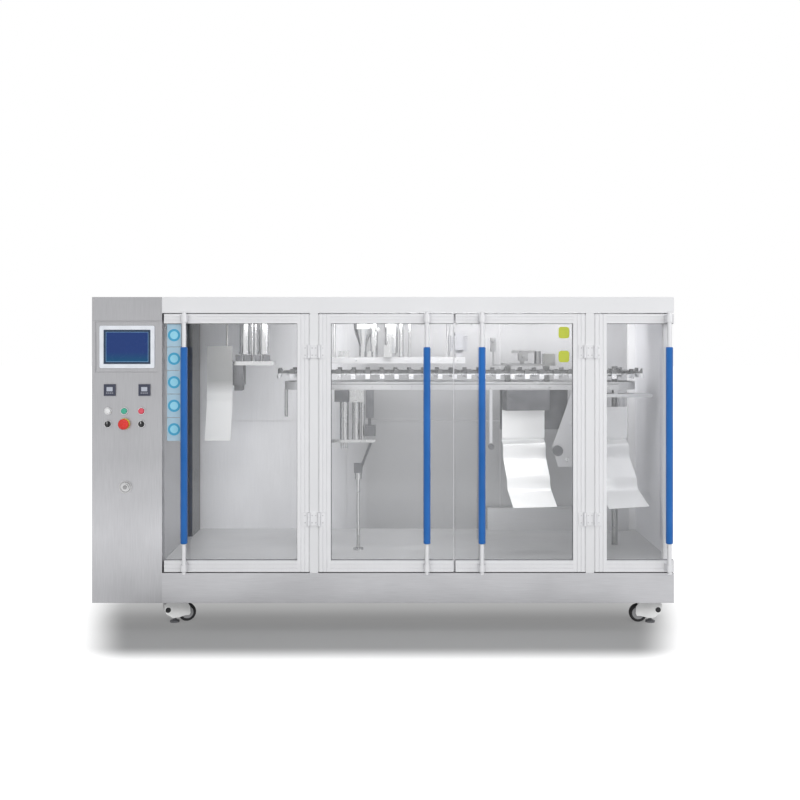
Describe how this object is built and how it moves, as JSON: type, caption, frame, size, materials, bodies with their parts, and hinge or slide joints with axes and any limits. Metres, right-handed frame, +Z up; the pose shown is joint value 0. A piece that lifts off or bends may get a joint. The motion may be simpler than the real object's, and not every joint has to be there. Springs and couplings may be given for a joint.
{
  "type": "pouch packing machine",
  "caption": "Glazed packing line machine: gripper chain with filling and sealing stations, hinged doors with foam grips, control cabinet at the left, levelling casters.",
  "frame": {"origin": "centre of the bounding box, on the floor", "axes": "+X along the machine to the right of a person at its front, +Y to the back, +Z up"},
  "size_m": [2.91, 1.05, 1.655],
  "materials": {
    "brushed_steel": "brushed",
    "pale_panel": "satin",
    "aluminium": "anodised",
    "clear_sheet": "clear",
    "blue_foam": "matt",
    "dark_metal": "satin",
    "polished_steel": "polished",
    "machined_steel": "machined",
    "black_plastic": "matt",
    "red_plastic": "gloss",
    "green_plastic": "gloss",
    "pale_plastic": "satin",
    "white_nylon": "satin",
    "tyre": "matt",
    "screen": "gloss"
  },
  "bodies": {
    "root": {"base_skirts": "brushed_steel", "cabinet_front": "brushed_steel", "cabinet_lock": "polished_steel", "cabinet_shell": "brushed_steel", "cable_duct": "dark_metal", "caster_mounts": "dark_metal", "chassis_frame": "dark_metal", "chute_boxes": "dark_metal", "chute_side_plates": "pale_panel", "date_coder": "pale_panel", "deck_plate": "brushed_steel", "door_posts": "pale_panel", "emergency_stop": "red_plastic", "filling_heads": "polished_steel", "gripper_chain": "machined_steel", "guide_rail": "aluminium", "header_rails": "pale_panel", "hinge_pins": "aluminium", "hmi_bezel": "pale_plastic", "hmi_screen": "screen", "hood": "pale_panel", "lift_cylinders": "polished_steel", "lift_unit": "dark_metal", "opening_station": "machined_steel", "outfeed_guard": "polished_steel", "pouch_chutes": "polished_steel", "push_buttons": "green_plastic", "rear_panels": "brushed_steel", "rear_posts": "pale_panel", "right_end_panel": "brushed_steel", "sealing_cylinders": "machined_steel", "sealing_jaws": "dark_metal", "station_beam": "aluminium", "support_columns": "brushed_steel", "temperature_controllers": "black_plastic", "track_beam": "aluminium", "turn_wheels": "machined_steel", "waste_trough": "brushed_steel"},
    "door_a": {"door_a_frame": "aluminium", "door_a_glass": "clear_sheet", "grip_a": "blue_foam"},
    "door_b": {"door_b_frame": "aluminium", "door_b_glass": "clear_sheet", "grip_b": "blue_foam"},
    "door_c": {"door_c_frame": "aluminium", "door_c_glass": "clear_sheet", "grip_c": "blue_foam"},
    "door_d": {"door_d_frame": "aluminium", "door_d_glass": "clear_sheet", "grip_d": "blue_foam"},
    "swivel_front_left": {"caster_front_left": "white_nylon"},
    "roller_front_left": {"wheel_front_left": "tyre"},
    "swivel_front_right": {"caster_front_right": "white_nylon"},
    "roller_front_right": {"wheel_front_right": "tyre"},
    "swivel_rear_left": {"caster_rear_left": "white_nylon"},
    "roller_rear_left": {"wheel_rear_left": "tyre"},
    "swivel_rear_right": {"caster_rear_right": "white_nylon"},
    "roller_rear_right": {"wheel_rear_right": "tyre"},
    "selector_body_left": {"selector_left": "black_plastic"},
    "selector_body_right": {"selector_right": "black_plastic"}
  },
  "joints": [
    {"name": "door_a_hinge", "type": "hinge", "parent": "root", "child": "door_a", "pos_m": [-0.371, -0.477, 0.926], "axis": [0, 0, 1], "range_deg": [0, 90]},
    {"name": "door_b_hinge", "type": "hinge", "parent": "root", "child": "door_b", "pos_m": [-0.319, -0.477, 0.926], "axis": [0, 0, -1], "range_deg": [0, 90]},
    {"name": "door_c_hinge", "type": "hinge", "parent": "root", "child": "door_c", "pos_m": [1.009, -0.477, 0.926], "axis": [0, 0, 1], "range_deg": [0, 90]},
    {"name": "door_d_hinge", "type": "hinge", "parent": "root", "child": "door_d", "pos_m": [1.061, -0.477, 0.926], "axis": [0, 0, -1], "range_deg": [0, 90]},
    {"name": "front_left_swivel", "type": "hinge", "parent": "root", "child": "swivel_front_left", "pos_m": [-1.065, -0.345, 0.09], "axis": [0, 0, 1], "continuous": true},
    {"name": "front_left_roll", "type": "hinge", "parent": "swivel_front_left", "child": "roller_front_left", "pos_m": [-1.00674, -0.32379, 0.047], "axis": [-0.342, 0.9397, 0], "continuous": true},
    {"name": "front_right_swivel", "type": "hinge", "parent": "root", "child": "swivel_front_right", "pos_m": [1.362, -0.345, 0.09], "axis": [0, 0, 1], "continuous": true},
    {"name": "front_right_roll", "type": "hinge", "parent": "swivel_front_right", "child": "roller_front_right", "pos_m": [1.30015, -0.34068, 0.047], "axis": [-0.0698, -0.9976, 0], "continuous": true},
    {"name": "rear_left_swivel", "type": "hinge", "parent": "root", "child": "swivel_rear_left", "pos_m": [-1.065, 0.405, 0.09], "axis": [0, 0, 1], "continuous": true},
    {"name": "rear_left_roll", "type": "hinge", "parent": "swivel_rear_left", "child": "roller_rear_left", "pos_m": [-1.00435, 0.39211, 0.047], "axis": [0.2079, 0.9781, 0], "continuous": true},
    {"name": "rear_right_swivel", "type": "hinge", "parent": "root", "child": "swivel_rear_right", "pos_m": [1.362, 0.405, 0.09], "axis": [0, 0, 1], "continuous": true},
    {"name": "rear_right_roll", "type": "hinge", "parent": "swivel_rear_right", "child": "roller_rear_right", "pos_m": [1.30135, 0.41789, 0.047], "axis": [-0.2079, -0.9781, 0], "continuous": true},
    {"name": "selector_left_turn", "type": "hinge", "parent": "root", "child": "selector_body_left", "pos_m": [-1.375, -0.475, 1.02], "axis": [0, -1, 0], "range_deg": [-45, 45]},
    {"name": "selector_right_turn", "type": "hinge", "parent": "root", "child": "selector_body_right", "pos_m": [-1.207, -0.475, 1.02], "axis": [0, -1, 0], "range_deg": [-45, 45]}
  ]
}
